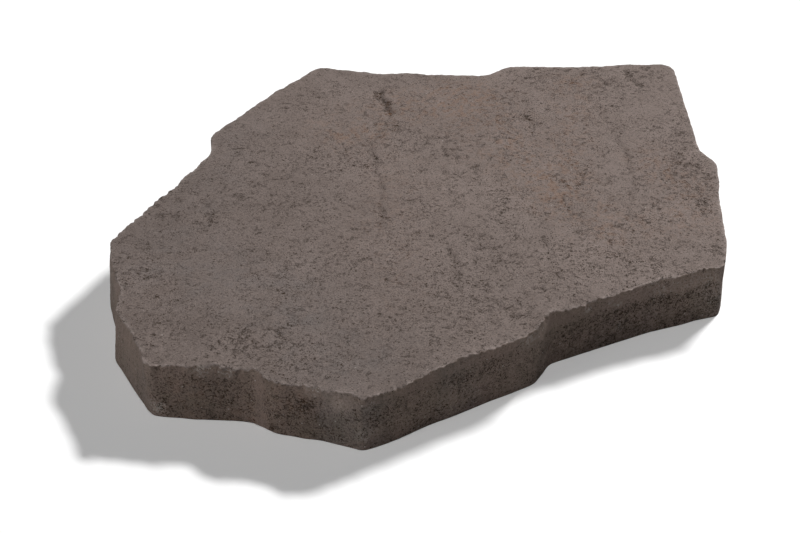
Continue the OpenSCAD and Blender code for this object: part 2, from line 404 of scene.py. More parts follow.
def ripple(places, size, seed):
    """Smooth random heights of about 1, whose bumps are about as wide as size."""
    scaled = places / size
    cell = np.floor(scaled).astype(np.int64)
    part = scaled - cell
    ease = part**3 * (part * (part * 6 - 15) + 10)
    total = np.zeros(len(places))
    for corner in itertools.product((0, 1), repeat=3):
        slope = cell_values(cell + np.array(corner), seed) * 2 - 1
        share = np.where(np.array(corner), ease, 1 - ease).prod(1)
        total += ((part - corner) * slope).sum(1) * share
    return total * NOISE_EVEN


def waves(places, *layers):
    """Ripples added up, each with its height, its width in mm and its seed."""
    return sum(height * ripple(places, width * MM, seed) for height, width, seed in layers)


def pitted(places, spacing, smallest, largest, share, seed):
    """How deep each place lies in scattered pits: 0 outside them and 1 at a pit's middle."""
    cell = np.floor(places / spacing).astype(np.int64)
    deepest = np.zeros(len(places))
    for corner in itertools.product((-1, 0, 1), repeat=3):
        near = cell + np.array(corner)
        middle = (near + cell_values(near, seed)) * spacing
        chance = cell_values(near, seed + 1)
        radius = smallest + (largest - smallest) * chance[:, 1] ** 2
        away = np.linalg.norm(places - middle, axis=1) / radius
        inside = np.clip(1 - away**2, 0, 1)
        deepest = np.maximum(deepest, np.where(chance[:, 0] < share, inside, 0))
    return deepest


def smooth_step(value, low, high):
    """0 below low, 1 above high and an S between them."""
    share = np.clip((value - low) / (high - low), 0, 1)
    return share * share * (3 - 2 * share)


# ------------------------------------------------------------------- what the CAD node gives


def mesh_arrays(mesh):
    """A mesh's places and triangles, with the places that coincide made one."""
    flat = np.empty(len(mesh.vertices) * 3)
    mesh.vertices.foreach_get("co", flat)
    mesh.calc_loop_triangles()
    corners = np.empty(len(mesh.loop_triangles) * 3, np.int32)
    mesh.loop_triangles.foreach_get("vertices", corners)
    places, same = np.unique(np.round(flat.reshape(-1, 3), 7), axis=0, return_inverse=True)
    return places, same.ravel()[corners].reshape(-1, 3)


def underside_outline(places, triangles):
    """The rim of the flat underside as one closed line of [x, y], counter-clockwise."""
    flat = triangles[(places[triangles, 2] < 0.01 * MM).all(1)]
    after = {}
    edges = {(a, b) for t in flat.tolist() for a, b in zip(t, t[1:] + t[:1])}
    for a, b in edges:
        if (b, a) not in edges:
            after[a] = b
    start = min(after)
    order = [start]
    while after[order[-1]] != start:
        order.append(after[order[-1]])
    line = places[order, :2]
    turn = line[:, 0] * np.roll(line[:, 1], -1) - line[:, 1] * np.roll(line[:, 0], -1)
    return line if turn.sum() > 0 else line[::-1]


def blurred(grid, cells):
    """A grid of values, each blended with those within about that many cells."""
    half = int(3 * cells)
    weights = np.exp(-0.5 * (np.arange(-half, half + 1) / cells) ** 2)
    for axis in (0, 1):
        margin = np.zeros_like(grid.take(range(half), axis))
        padded = np.concatenate([margin, grid, margin], axis)
        length = grid.shape[axis]
        grid = sum(w * padded.take(range(k, k + length), axis) for k, w in enumerate(weights))
    return grid


class Relief:
    """The broad relief of the CAD node's top, without its flat facets."""

    def __init__(self, places, triangles):
        tree = BVHTree.FromPolygons(places.tolist(), triangles.tolist())
        low, high = places.min(0), places.max(0)
        self.corner = low[:2] - 4 * RELIEF_STEP
        self.shape = np.ceil((high[:2] - low[:2]) / RELIEF_STEP).astype(int) + 9
        heights = np.zeros(self.shape)
        known = np.zeros(self.shape)
        down = Vector((0, 0, -1))
        for i, j in itertools.product(range(self.shape[0]), range(self.shape[1])):
            x, y = self.corner + np.array((i, j)) * RELIEF_STEP
            hit = tree.ray_cast(Vector((x, y, 1.0)), down)[0]
            if hit is not None:
                heights[i, j] = hit.z
                known[i, j] = 1
        cells = RELIEF_BLUR / RELIEF_STEP
        share = blurred(known, cells)
        self.heights = np.where(
            share > 1e-6, blurred(heights * known, cells) / np.maximum(share, 1e-6), heights.max()
        )

    def at(self, xy):
        """The height at each [x, y], read between the grid's points."""
        scaled = (xy - self.corner) / RELIEF_STEP
        cell = np.clip(np.floor(scaled).astype(int), 0, self.shape - 2)
        u, v = (scaled - cell).T
        i, j = cell.T
        h = self.heights
        return (
            h[i, j] * (1 - u) * (1 - v)
            + h[i + 1, j] * u * (1 - v)
            + h[i, j + 1] * (1 - u) * v
            + h[i + 1, j + 1] * u * v
        )


# ------------------------------------------------------------------------- lines round the slab


def evenly_spaced(line, step):
    """Points about a step apart round a closed line."""
    closed = np.vstack([line, line[:1]])
    along = np.append(0, np.cumsum(np.linalg.norm(np.diff(closed, axis=0), axis=1)))
    count = int(round(along[-1] / step))
    at = np.arange(count) * along[-1] / count
    return np.stack([np.interp(at, along, closed[:, axis]) for axis in (0, 1)], 1)


def softened(values, points):
    """Values round a closed line, each blended with its neighbours over about that many."""
    half = int(math.ceil(3 * points))
    steps = range(-half, half + 1)
    weights = np.exp(-0.5 * (np.arange(-half, half + 1) / points) ** 2)
    weights /= weights.sum()
    return sum(w * np.roll(values, k, axis=0) for w, k in zip(weights, steps))


def outward(line):
    """The direction out of a counter-clockwise closed line, at each of its points."""
    along = np.roll(line, -1, 0) - np.roll(line, 1, 0)
    away = np.stack([along[:, 1], -along[:, 0]], 1)
    return away / np.linalg.norm(away, axis=1)[:, None]


def inside(xy, line):
    """Whether each [x, y] is inside a closed line."""
    result = np.zeros(len(xy), bool)
    for (x1, y1), (x2, y2) in zip(line, np.roll(line, -1, 0)):
        if y1 != y2:
            crosses = (xy[:, 1] < y1) != (xy[:, 1] < y2)
            at = x1 + (xy[:, 1] - y1) * (x2 - x1) / (y2 - y1)
            result ^= crosses & (xy[:, 0] < at)
    return result


def nearest_column(xy, line):
    """For each [x, y], the nearest point of a line and the distance to it."""
    tree = KDTree(len(line))
    for k, (x, y) in enumerate(line):
        tree.insert((x, y, 0), k)
    tree.balance()
    found = [tree.find((x, y, 0)) for x, y in xy.tolist()]
    return np.array([f[1] for f in found]), np.array([f[2] for f in found])


def lattice(low, high, step):
    """Points of a triangular lattice over a rectangle."""
    rise = step * math.sqrt(3) / 2
    rows = int((high[1] - low[1]) / rise) + 1
    columns = int((high[0] - low[0]) / step) + 2
    row, column = np.divmod(np.arange(rows * columns), columns)
    return np.stack([low[0] + (column + 0.5 * (row % 2)) * step, low[1] + row * rise], 1)


def line_distance(xy, line):
    """How far each [x, y] is from an open line, positive on its right, and the share of the
    line's length where it is nearest."""
    nodes = np.array(line) * MM
    lengths = np.linalg.norm(np.diff(nodes, axis=0), axis=1)
    starts = np.append(0, np.cumsum(lengths))
    best = np.full(len(xy), np.inf)
    side = np.ones(len(xy))
    share = np.zeros(len(xy))
    for a, b, length, start in zip(nodes, nodes[1:], lengths, starts):
        along = (b - a) / length
        away = xy - a
        t = np.clip(away @ along, 0, length)
        distance = np.linalg.norm(away - t[:, None] * along, axis=1)
        cross = along[0] * away[:, 1] - along[1] * away[:, 0]
        closer = distance < best
        best = np.where(closer, distance, best)
        side = np.where(closer, np.where(cross < 0, 1, -1), side)
        share = np.where(closer, (start + t) / starts[-1], share)
    return best * side, share


# ---------------------------------------------------------------- how the face lies and tears


def flat_places(xy):
    """Each [x, y] as a place at height 0."""
    return np.column_stack([xy, np.zeros(len(xy))])


def torn(xy, amount, size, seed):
    """Places moved sideways at random, which makes a line drawn through them torn."""
    places = flat_places(xy)
    return xy + amount * np.stack(
        [ripple(places, size, seed), ripple(places, size, seed + 1)], 1
    )


def near_line(xy, place):
    """How near each [x, y] is to a place's line: 1 on it and fading over the place's reach."""
    return np.exp(-((line_distance(xy, place["line"])[0] / (place["reach"] * MM)) ** 2))


def calmness(xy):
    """How smooth the face was pressed, up to 1, or how rough it is where that is below zero."""
    calm = 0.2 * smooth_step(ripple(flat_places(xy), 30 * MM, 33), 0.7, 1.6)
    moved = torn(torn(xy, 4 * MM, 20 * MM, 31), 2.5 * MM, 9 * MM, 35)
    for place in CALM_PLACES:
        calm += place["calm"] * near_line(moved, place)
    return np.clip(calm, -0.6, 0.5)


def face_detail(xy):
    """The height that ledges and nicks add to the face, and how much painted shade lies along
    their feet and in them, from 0 to 1.
    """
    height = np.zeros(len(xy))
    crease_shade = np.zeros(len(xy))
    moved = torn(torn(xy, 1.5 * MM, 15 * MM, 41), 0.55 * MM, 4.5 * MM, 43)
    ragged = torn(moved, 0.8 * MM, 3.0 * MM, 47)
    for ledge in LEDGES:
        away, share = line_distance(moved, ledge["line"])
        fade = smooth_step(np.minimum(share, 1 - share), 0, 0.16)
        fade = fade * np.clip(0.85 + 0.35 * ripple(flat_places(xy), 16 * MM, 45), 0.35, 1.2)
        foot = smooth_step(away, -2.0 * MM, 1.8 * MM)
        climb = 1 - smooth_step(away, 0, ledge["reach"] * MM)
        height -= fade * ledge["step"] * MM * foot * climb
        # painted shade along the foot of the ledge
        crease_shade = np.maximum(crease_shade, 0.32 * fade * np.exp(-((away / MM - 0.3) / 1.5) ** 2))
    for nick in NICKS:
        away = line_distance(ragged, nick["line"])[0]
        groove = np.exp(-((away / (nick["width"] * MM)) ** 2))
        height -= nick["depth"] * MM * groove
        # painted shade in the nick
        crease_shade = np.maximum(crease_shade, min(1, 0.8 * nick["depth"]) * groove)
    return height, crease_shade


def rim_rise(xy):
    """How far the face stands up or falls where it meets the arris."""
    rise = waves(flat_places(xy), (0.35 * MM, 24, 51), (0.25 * MM, 8, 52))
    for lump in RIM_LUMPS:
        rise += lump["high"] * MM * near_line(xy, lump)
    return rise


RIM_REACH = 11 * MM  # how far in from the arris the rim's rise and fall fades


def face_height(relief, xy, from_arris):
    """The height of the face before its fine relief."""
    return relief.at(xy) + rim_rise(xy) * np.exp(-((from_arris / RIM_REACH) ** 2))


def worn_away(distance, radius):
    """How far a rounded corner lies behind a sharp one, this far along from it."""
    reach = np.clip(radius - distance, 0, None)
    return radius - np.sqrt(np.maximum(radius**2 - reach**2, 0))


# -------------------------------------------------------------------------------- the slab mesh


def triangulated(rim, middle):
    """Triangles between a closed rim and loose points inside it, as numbers in rim + middle."""
    count = len(rim)
    points = [Vector(p) for p in np.vstack([rim, middle]).tolist()]
    edges = [(k, (k + 1) % count) for k in range(count)]
    made = delaunay_2d_cdt(points, edges, [list(range(count))], 1, 1e-7)
    numbers = np.array([origin[0] for origin in made[3]])
    triangles = numbers[np.array([list(t) for t in made[2]])]
    a, b, c = (np.vstack([rim, middle])[triangles[:, k]] for k in range(3))
    turn = (b[:, 0] - a[:, 0]) * (c[:, 1] - a[:, 1]) - (b[:, 1] - a[:, 1]) * (c[:, 0] - a[:, 0])
    triangles[turn < 0] = triangles[turn < 0][:, ::-1]
    return triangles


def strip(upper, lower):
    """Triangles of the strip between two rings, where the lower is further round the outside."""
    after_upper, after_lower = np.roll(upper, -1), np.roll(lower, -1)
    return np.concatenate(
        [
            np.stack([upper, lower, after_lower], 1),
            np.stack([upper, after_lower, after_upper], 1),
        ]
    )


def vertex_normals(places, triangles):
    """The direction out of the surface at each place, from the triangles round it."""
    a, b, c = (places[triangles[:, k]] for k in range(3))
    across = np.cross(b - a, c - a)
    normals = np.zeros_like(places)
    for k in range(3):
        np.add.at(normals, triangles[:, k], across)
    return normals / np.maximum(np.linalg.norm(normals, axis=1), 1e-30)[:, None]


cad_places, cad_triangles = mesh_arrays(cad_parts["stone"].data)
relief = Relief(cad_places, cad_triangles)
outline = softened(
    evenly_spaced(underside_outline(cad_places, cad_triangles), WALL_STEP), 1.2
)
away = softened(outward(outline), 1.5)
away /= np.linalg.norm(away, axis=1)[:, None]
column_places = flat_places(outline)
columns = len(outline)

# How far the side stands out from the outline at the base, and how much further at the arris
out_at_base = np.zeros(columns)
lean = np.zeros(columns)
for shift in EDGE_SHIFTS:
    near = near_line(outline, shift)
    out_at_base += shift["base"] * MM * near
    lean += (shift["top"] - shift["base"]) * MM * near

# The arris retreats from that line where the riven face broke away
crumb_size = np.full(columns, SOUND_CRUMBS * MM)
scallops = np.zeros(columns)
for stretch in BROKEN_ARRIS:
    reach = np.abs(line_distance(outline, stretch["line"])[0])
    near = 1 - smooth_step(reach, *BREAK_FADE)
    crumb_size = np.maximum(crumb_size, stretch["crumbs"] * MM * near)
    swell = np.abs(ripple(column_places, stretch["size"] * MM, 66))
    cusps = np.clip(1 - 1.5 * swell, 0, 1) ** 1.5
    scallops = np.maximum(scallops, stretch["scallops"] * MM * near * cusps)
inward = waves(column_places, (0.25, 15, 61), (0.60, 5.0, 62), (1.10, 2.6, 63)) - 0.1
crumbs = crumb_size * np.clip(inward, -1.3, 2.2)
downward = waves(column_places, (0.4, 9, 67), (0.5, 4, 68), (0.6, 2.4, 69))
crumb_drop = crumb_size * np.clip(downward, -1.0, 1.9)
rounding = 0.5 + 0.35 * ripple(column_places, 12 * MM, 64)
rounding += 0.25 * ripple(column_places, 4 * MM, 65)
worn = np.clip(rounding, 0.25, 1.6) * MM  # radius of the arris

places = []


def add_ring(xy, z):
    """Adds points to the slab and gives their numbers."""
    start = sum(len(p) for p in places)
    places.append(np.column_stack([xy, z]))
    return np.arange(start, start + len(xy))


def side_line(height_share, back):
    """The outline at a share of the slab's height, moved back by that much."""
    return outline + away * (out_at_base + lean * height_share - back)[:, None]


CORNER_SHARE = 1 - math.sqrt(0.5)  # of its radius, how far a round corner's middle lies in
SCALLOP_DEPTH = 9 * MM  # below the arris, where the scallops run out
CRUMB_DEPTH = 2.5 * MM  # below the arris, where the crumbs run out
CRUMB_INSET = 1.6 * MM  # in from the arris, where they run out
rim_height = face_height(relief, outline, np.zeros(columns)) - crumb_drop

# Rings of the face next to the arris, from the inside out
face_insets = (2.1 * MM, 0.95 * MM)
face_rings = []
for inset, blend in zip(face_insets, (2.0, 0.8)):
    line = side_line(1, softened(crumbs + scallops, blend) + inset)
    height = face_height(relief, line, np.full(columns, inset)) - worn_away(inset, worn)
    height -= crumb_drop * np.exp(-((inset / CRUMB_INSET) ** 2))
    face_rings.append(add_ring(line, height))
arris_ring = add_ring(
    side_line(1, crumbs + scallops + CORNER_SHARE * worn), rim_height - CORNER_SHARE * worn
)


def broken_back(depth):
    """How far the broken side lies back, this far below the arris."""
    return (
        scallops * np.exp(-((depth / SCALLOP_DEPTH) ** 2))
        + crumbs * np.exp(-((depth / CRUMB_DEPTH) ** 2))
    )


# Rings of the wall: the upper ones share out the smooth band, the lower ones are level
band_shares = np.array([0.04, 0.10, 0.18, 0.28, 0.41, 0.55, 0.70, 0.85, 0.97])
body_heights = np.concatenate([[30.2, 29.0], np.arange(27.2, 2.4, -1.85), [1.2, 0.35]]) * MM
wall_rings = []
for share in band_shares:
    depth = share * (rim_height - BAND_FOOT)
    height = rim_height - depth
    back = broken_back(depth) + worn_away(depth, worn)
    wall_rings.append(add_ring(side_line(height / rim_height, back), height))
for height in body_heights:
    back = broken_back(rim_height - height) + worn_away(height, BASE_ROUND)
    wall_rings.append(add_ring(side_line(height / rim_height, back), np.full(columns, height)))
under_line = side_line(0, BASE_ROUND)
base_ring = add_ring(under_line, np.zeros(columns))

# The middle of the face and of the underside
inner_line = places[0][:, :2]
face_points = lattice(outline.min(0), outline.max(0), FACE_STEP)
face_points = face_points[inside(face_points, inner_line)]
near, gap = nearest_column(face_points, inner_line)
clear = gap > FACE_CLEARANCE
face_points, near, gap = face_points[clear], near[clear], gap[clear]
from_arris = gap + face_insets[0]
face_z = face_height(relief, face_points, from_arris) - worn_away(from_arris, worn[near])
face_middle = add_ring(face_points, face_z)

under_points = lattice(outline.min(0), outline.max(0), UNDER_STEP)
under_points = under_points[inside(under_points, under_line)]
under_gap = nearest_column(under_points, under_line)[1]
under_points = under_points[under_gap > UNDER_CLEARANCE]
under_middle = add_ring(under_points, np.zeros(len(under_points)))

base_places = np.vstack(places)
face_numbers = np.concatenate([face_rings[0], face_middle])
face_triangles = [face_numbers[triangulated(inner_line, face_points)]]
face_triangles += [strip(face_rings[0], face_rings[1]), strip(face_rings[1], arris_ring)]
wall_triangles = []
for upper, lower in zip([arris_ring] + wall_rings, wall_rings + [base_ring]):
    wall_triangles.append(strip(upper, lower))
under_numbers = np.concatenate([base_ring, under_middle])
under_triangles = [under_numbers[triangulated(under_line, under_points)][:, ::-1]]
kinds = [np.vstack(face_triangles), np.vstack(wall_triangles), np.vstack(under_triangles)]
triangles = np.vstack(kinds)
kind_of = np.repeat(np.arange(3), [len(k) for k in kinds])

# --------------------------------------------- the fine relief, along the surface's own direction

normals = vertex_normals(base_places, triangles)
height_above = base_places[:, 2]
on_face = np.zeros(len(base_places))
on_face[np.concatenate([face_middle, *face_rings])] = 1
on_face[arris_ring] = 0.5
on_wall = np.zeros(len(base_places))
on_wall[np.concatenate(wall_rings)] = 1
on_wall[arris_ring] = 0.5

calm = calmness(base_places[:, :2])
ledge_height, crease_shade = face_detail(base_places[:, :2])
warped = base_places + 0.9 * MM * np.stack(
    [ripple(base_places, 3.2 * MM, seed) for seed in (71, 72, 73)], 1
)

face_pits = pitted(warped, 8 * MM, 0.9 * MM, 2.2 * MM, 0.6, 81) * (1 - 0.85 * calm)
face_relief = (
    waves(base_places, (0.28 * MM, 42, 82), (0.15 * MM, 17, 83))
    + (1 - 0.7 * calm) * waves(base_places, (0.12 * MM, 7.5, 84), (0.08 * MM, 3.6, 85))
    - 0.45 * MM * face_pits
)


def near_spot(spot):
    """How near each point of the sides is to a spot: 1 in it and fading over its reach."""
    gone = np.linalg.norm(base_places - np.array(spot["place"]) * MM, axis=1)
    return np.exp(-((gone / (spot["reach"] * MM)) ** 2)) * (on_wall > 0)


# How smooth the sides are, from rough below zero to 1 in the band
above = np.full(columns, 0.15)
below = np.zeros(columns)
rest = BAND_FOOT + 1.1 * MM * ripple(column_places, 7 * MM, 90)
foot = rest
moved_columns = torn(outline, 2.5 * MM, 8 * MM, 91)
for stretch in SMOOTH_BANDS:
    gone = np.abs(line_distance(moved_columns, stretch["line"])[0])
    share = 1 - smooth_step(gone, 0.4 * stretch["reach"] * MM, 1.6 * stretch["reach"] * MM)
    above = np.maximum(above, stretch["above"] * share)
    below += (stretch["below"] - below) * share
    foot = np.maximum(foot, rest + stretch["rise"] * MM * share)
band = np.zeros(len(base_places))
for ring in [arris_ring] + wall_rings:
    over = smooth_step(base_places[ring, 2] - foot, -1.8 * MM, 1.8 * MM)
    band[ring] = below + (above - below) * over
band[base_ring] = below
patchy = ripple(base_places, 14 * MM, 96)
band += 0.25 * band * (1 - band) * patchy
band -= sum(spot["rough"] * near_spot(spot) for spot in ROUGH_SPOTS)
band = np.clip(band, -0.4, 1)
wall_pits = pitted(warped, 5 * MM, 0.8 * MM, 1.8 * MM, 0.55, 92) * (1 - 0.95 * band)
wall_relief = (
    0.22 * MM * ripple(base_places, 30 * MM, 93)
    + BAND_PROUD * band
    + (1 - 0.8 * band) * waves(base_places, (0.10 * MM, 6, 94), (0.08 * MM, 3.0, 95))
    - 0.60 * MM * wall_pits
)
at_base = 1 - smooth_step(height_above, 0, 2.5 * MM)
moved = on_face * face_relief + on_wall * wall_relief * (1 - at_base)
final_places = base_places + normals * moved[:, None]
final_places[:, 2] += np.where(on_face > 0.4, ledge_height, 0)

# How deep each point lies in a pit; the materials darken the pits with painted shade
pit = np.clip(on_face * face_pits + on_wall * wall_pits, 0, 1)
# The arris is rubbed pale and given a painted highlight, unevenly along it
rubbed_pale_and_highlight = np.clip(0.75 + 0.5 * ripple(column_places, 7 * MM, 97), 0.1, 1)
arris = np.zeros(len(base_places))
arris_rings = (arris_ring, face_rings[1], wall_rings[0], face_rings[0])
for ring, share in zip(arris_rings, (1, 0.6, 0.45, 0.2)):
    arris[ring] = share * rubbed_pale_and_highlight


def tints(patches):
    """How rusty the cement is at each point, or how cold below zero, from a list of patches."""
    total = np.zeros(len(base_places))
    for patch in patches:
        total += patch["tint"] * near_line(base_places[:, :2], patch)
    return total


tint = tints(FACE_TINTS) * (on_face > 0) + tints(SIDE_TINTS) * (on_wall > 0.6)
tint = np.clip(tint * (0.85 + 0.4 * ripple(base_places, 22 * MM, 98)), -1.6, 1.1)

# Painted light makes the slab paler towards the nose, where the key light comes from, and painted
# shade darkens the sides towards the base
paleness_and_painted_light = 1 + PAINTED_LIGHT_TO_NOSE * base_places[:, 0] / outline[:, 0].max()
paleness_and_painted_light += 0.025 * ripple(base_places, 60 * MM, 99)
for patch in PALE_PLACES_AND_PAINTED_LIGHT:
    paleness_and_painted_light += patch["pale"] * near_line(base_places[:, :2], patch) * (on_face > 0)
paleness_and_painted_light -= 0.16 * calm * (on_face > 0.6)
for spot in PALE_SPOTS_AND_PAINTED_LIGHT:
    paleness_and_painted_light += spot["pale"] * near_spot(spot)
stuck = sum(spot["thick"] * near_spot(spot) for spot in STUCK_CRUMBS)
# painted shade: the sides darken towards the base
paleness_and_painted_light *= 1 - PAINTED_SHADE_TO_BASE * (on_wall > 0.6) * (1 - np.clip(height_above / BAND_FOOT, 0, 1))

# What the materials read at each point of the surface
SURFACE_VALUES = {
    "calm": calm * (on_face > 0),
    "crease_shade": crease_shade * (on_face > 0),
    "pit": pit,
    "band": band,
    "arris": arris,
    "tint": tint,
    "paleness_and_painted_light": paleness_and_painted_light,
    "crumbs": stuck,
}


def in_scene(name, data):
    """A new object for a mesh, a lamp or a camera, linked into the scene."""
    made = bpy.data.objects.new(name, data)
    bpy.context.scene.collection.objects.link(made)
    return made


def make_mesh(name):
    """The slab's mesh, with the surface values on its points."""
    mesh = bpy.data.meshes.new(name)
    mesh.vertices.add(len(final_places))
    mesh.vertices.foreach_set("co", final_places.ravel())
    mesh.loops.add(len(triangles) * 3)
    mesh.loops.foreach_set("vertex_index", triangles.ravel().astype(np.int32))
    mesh.polygons.add(len(triangles))
    mesh.polygons.foreach_set("loop_start", np.arange(0, len(triangles) * 3, 3, dtype=np.int32))
    mesh.polygons.foreach_set("material_index", kind_of.astype(np.int32))
    mesh.update(calc_edges=True)
    mesh.polygons.foreach_set("use_smooth", np.ones(len(triangles), bool))
    for label, values in SURFACE_VALUES.items():
        layer = mesh.attributes.new(label, "FLOAT", "POINT")
        layer.data.foreach_set("value", values.astype(np.float32))
    if mesh.validate(verbose=True):
        raise RuntimeError("the slab's mesh had faults")
    return mesh


slab = in_scene("stepping_stone", make_mesh("stepping_stone"))
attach(slab, "root")
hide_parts("stone")

# ----------------------------------------------------------------------------------- materials

SQUEEZE_DIRECTION = math.radians(-46)  # from +X, the way along which the marks of the holes are squeezed so that they lengthen
RUST_STAIN = (1.06, 0.905, 0.78, 1)
COLD_STAIN = (0.90, 0.975, 1.03, 1)
# Painted shade in the holes: black, and rusty where the cement is rusty
PORE_SHADE = (0.033, 0.020, 0.011, 1)
RUSTY_PORE_SHADE = (0.092, 0.039, 0.016, 1)
# The arris is rubbed pale and given a painted highlight
ARRIS_PALE_AND_HIGHLIGHT = (0.250, 0.208, 0.190, 1)
GRAIN_PALE = (0.29, 0.255, 0.23, 1)
MORE_TORN = 0.09  # how much further every hole opens in a ledge or a nick
HOLE_DEPTHS = dict(large=0.45, small=0.15, crinkles=0.28, tears=0.35)  # in mm


class Nodes:
    """Places and wires the nodes of one tree."""

    def __init__(self, tree):
        self.tree = tree

    def add(self, kind, settings=None, **inputs):
        """A new node with its settings, and its inputs set or wired."""
        node = self.tree.nodes.new(kind)
        for key, value in (settings or {}).items():
            setattr(node, key, value)
        for key, value in inputs.items():
            self.put(node.inputs[key.replace("_", " ")], value)
        return node

    def put(self, socket, value):
        """Wires a socket to a value that is a socket, or sets it."""
        if isinstance(value, bpy.types.NodeSocket):
            self.tree.links.new(value, socket)
        else:
            socket.default_value = value

    def math(self, operation, *values, clamp=False):
        node = self.tree.nodes.new("ShaderNodeMath")
        node.operation = operation
        node.use_clamp = clamp
        for socket, value in zip(node.inputs, values):
            self.put(socket, value)
        return node.outputs[0]

    def plus(self, first, second):
        return self.math("ADD", first, second)

    def minus(self, first, second, clamp=False):
        return self.math("SUBTRACT", first, second, clamp=clamp)

    def times(self, first, second, clamp=False):
        return self.math("MULTIPLY", first, second, clamp=clamp)

    def over(self, first, second, clamp=False):
        return self.math("DIVIDE", first, second, clamp=clamp)

    def ramp(self, value, low, high, to_low=0.0, to_high=1.0):
        """Spreads value from low..high to to_low..to_high in a soft S."""
        node = self.tree.nodes.new("ShaderNodeMapRange")
        node.interpolation_type = "SMOOTHSTEP"
        for socket, given in zip(node.inputs[:5], (value, low, high, to_low, to_high)):
            self.put(socket, given)
        return node.outputs[0]

    def noise(self, where, size, detail=2.0, roughness=0.5, distortion=0.0):
        """Random values from 0 to 1, whose bumps are about size metres wide."""
        scale = self.over(1.0, size) if isinstance(size, bpy.types.NodeSocket) else 1 / size
        given = dict(Vector=where, Scale=scale, Detail=detail, Roughness=roughness)
        return self.add("ShaderNodeTexNoise", Distortion=distortion, **given).outputs["Fac"]

    def stretched(self, where, scale):
        """Places scaled along X, Y and Z."""
        node = self.add("ShaderNodeVectorMath", dict(operation="MULTIPLY"))
        self.put(node.inputs[0], where)
        node.inputs[1].default_value = scale
        return node.outputs[0]

    def mix(self, share, first, second, blend="MIX"):
        node = self.tree.nodes.new("ShaderNodeMix")
        node.data_type = "RGBA"
        node.blend_type = blend
        self.put(node.inputs[0], share)
        self.put(node.inputs[6], first)
        self.put(node.inputs[7], second)
        return node.outputs[2]

    def squeezed(self, where, squeeze):
        """Places squeezed along one way, so that marks lengthen."""
        stretch = self.add("ShaderNodeCombineXYZ", Y=self.over(1.0, squeeze), Z=1.0)
        self.put(stretch.inputs["X"], squeeze)
        turned = self.add("ShaderNodeMapping", dict(vector_type="TEXTURE"), Vector=where)
        turned.inputs["Rotation"].default_value = (0, 0, SQUEEZE_DIRECTION)
        self.put(turned.inputs["Scale"], stretch.outputs[0])
        return turned.outputs[0]

    def use(self, tree, **inputs):
        """A node that stands for a shader group, with its inputs set."""
        return self.add("ShaderNodeGroup", dict(node_tree=tree), **inputs)

    def attribute(self, name):
        return self.add("ShaderNodeAttribute", dict(attribute_name=name)).outputs["Fac"]


FLOAT, VECTOR, COLOUR = "NodeSocketFloat", "NodeSocketVector", "NodeSocketColor"


def group(name, inputs, outputs):
    """An empty shader group with its tree's nodes, then its inputs, of which Vector is first."""
    tree = bpy.data.node_groups.new(name, "ShaderNodeTree")
    tree.interface.new_socket("Vector", in_out="INPUT", socket_type=VECTOR)
    for label, value in inputs.items():
        kind = COLOUR if isinstance(value, tuple) else FLOAT
        label = label.replace("_", " ")
        socket = tree.interface.new_socket(label, in_out="INPUT", socket_type=kind)
        socket.default_value = value
    for label in outputs:
        kind = COLOUR if label == "Color" else FLOAT
        tree.interface.new_socket(label, in_out="OUTPUT", socket_type=kind)
    nodes = Nodes(tree)
    given = nodes.add("NodeGroupInput").outputs
    nodes.outer = nodes.add("NodeGroupOutput")
    return tree, nodes, *(given[k] for k in range(1 + len(inputs)))


def open_pores_group():
    """Small irregular holes where the mix didn't close, in loose clusters."""
    inputs = dict(Size=0.0024, Level=0.33, Cluster=0.3, Softness=0.04, Drag=1.2)
    tree, n, where, size, level, cluster, softness, squeeze = group("open pores", inputs, ["Pores"])
    fine = n.noise(n.squeezed(where, squeeze), size, detail=3.0, roughness=0.6, distortion=0.8)
    near = n.minus(n.noise(where, 0.014, detail=2.0, roughness=0.6), 0.5)
    broad = n.minus(n.noise(where, 0.055, detail=1.0), 0.5)
    lift = n.times(n.plus(near, n.times(broad, 0.5)), cluster)
    depth = n.minus(n.plus(level, lift), fine)
    n.put(n.outer.inputs["Pores"], n.over(depth, softness, clamp=True))
    return tree


def crinkles_group():
    """Short bent cracks, in patches, which the materials darken with painted shade."""
    inputs = dict(Size=0.003, Width=0.055, Level=0.45, Drag=1.3)
    tree, n, where, size, width, level, squeeze = group("crinkles", inputs, ["Crinkles"])
    where = n.squeezed(where, squeeze)
    bends = n.noise(where, size, detail=2.0, roughness=0.6, distortion=0.7)
    off_line = n.math("ABSOLUTE", n.minus(bends, 0.5))
    line = n.minus(1.0, n.over(off_line, width), clamp=True)
    pieces = n.noise(where, 0.0037, detail=1.0)
    near = n.minus(n.noise(where, 0.013, detail=2.0, roughness=0.6), 0.5)
    broad = n.minus(n.noise(where, 0.05, detail=1.0), 0.5)
    lift = n.plus(n.times(near, 0.40), n.times(broad, 0.25))
    kept = n.times(n.minus(n.plus(level, lift), pieces), 12.0, clamp=True)
    n.put(n.outer.inputs["Crinkles"], n.times(line, kept))
    return tree


def sand_grain_group():
    """The grains of sand in the cement, as a tone about 1, a height and a few pale grains."""
    inputs = dict(Size=0.001, Contrast=0.3, Pale_Share=0.003)
    outputs = ["Tone", "Height", "Pale Grains"]
    tree, n, where, size, contrast, pale_share = group("sand grain", inputs, outputs)
    grain = n.noise(where, size, detail=3.0, roughness=0.75)
    n.put(n.outer.inputs["Tone"], n.plus(n.times(n.minus(grain, 0.5), contrast), 1.0))
    n.put(n.outer.inputs["Height"], grain)
    scale = n.times(n.over(1.0, size), 0.8)
    bits = n.add("ShaderNodeTexVoronoi", Vector=where, Scale=scale).outputs
    lot = n.add("ShaderNodeSeparateColor", Color=bits["Color"]).outputs[0]
    chosen = n.math("LESS_THAN", lot, pale_share)
    spot = n.ramp(bits["Distance"], 0.45, 0.25)
    n.put(n.outer.inputs["Pale Grains"], n.times(chosen, spot))
    return tree


